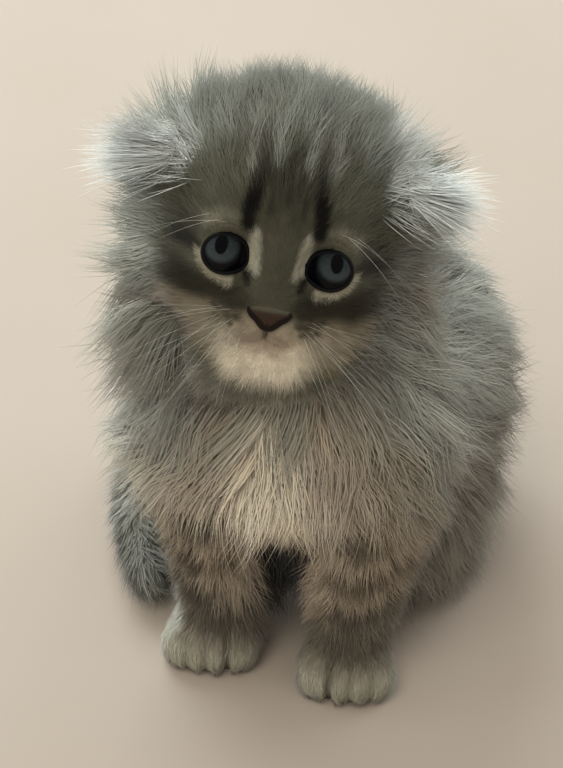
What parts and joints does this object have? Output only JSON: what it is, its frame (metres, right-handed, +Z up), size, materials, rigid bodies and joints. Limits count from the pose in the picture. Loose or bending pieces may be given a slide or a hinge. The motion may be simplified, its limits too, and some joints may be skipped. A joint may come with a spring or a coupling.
{
  "type": "scottish fold kitten model",
  "caption": "Life-size still model of a sitting long-haired fold-eared kitten, resting on its paws, rump and tail.",
  "frame": {"origin": "on the floor, under the middle of the kitten's box", "axes": "+Z up; the chest faces -Y; the kitten's left side is +X"},
  "size_m": [0.1356, 0.15, 0.1873],
  "materials": {
    "silver_coat": "long soft silver tabby fur",
    "pale_coat": "short pale fur of the paws",
    "dark_coat": "dark fur of the tail's tip",
    "eye": "wet slate-blue eye",
    "nose_skin": "moist fine-grained nose leather"
  },
  "bodies": {
    "root": {"head": "silver_coat", "ear_left": "silver_coat", "ear_right": "silver_coat", "eye_left": "eye", "eye_right": "eye", "nose": "nose_skin", "neck": "silver_coat", "trunk": "silver_coat", "front_leg_left": "silver_coat", "front_leg_right": "silver_coat", "front_paw_left": "pale_coat", "front_paw_right": "pale_coat", "hind_leg_left": "silver_coat", "hind_leg_right": "silver_coat", "hind_foot_left": "pale_coat", "hind_foot_right": "pale_coat", "tail_base": "silver_coat", "tail_middle": "silver_coat", "tail_tip": "dark_coat"}
  },
  "joints": []
}
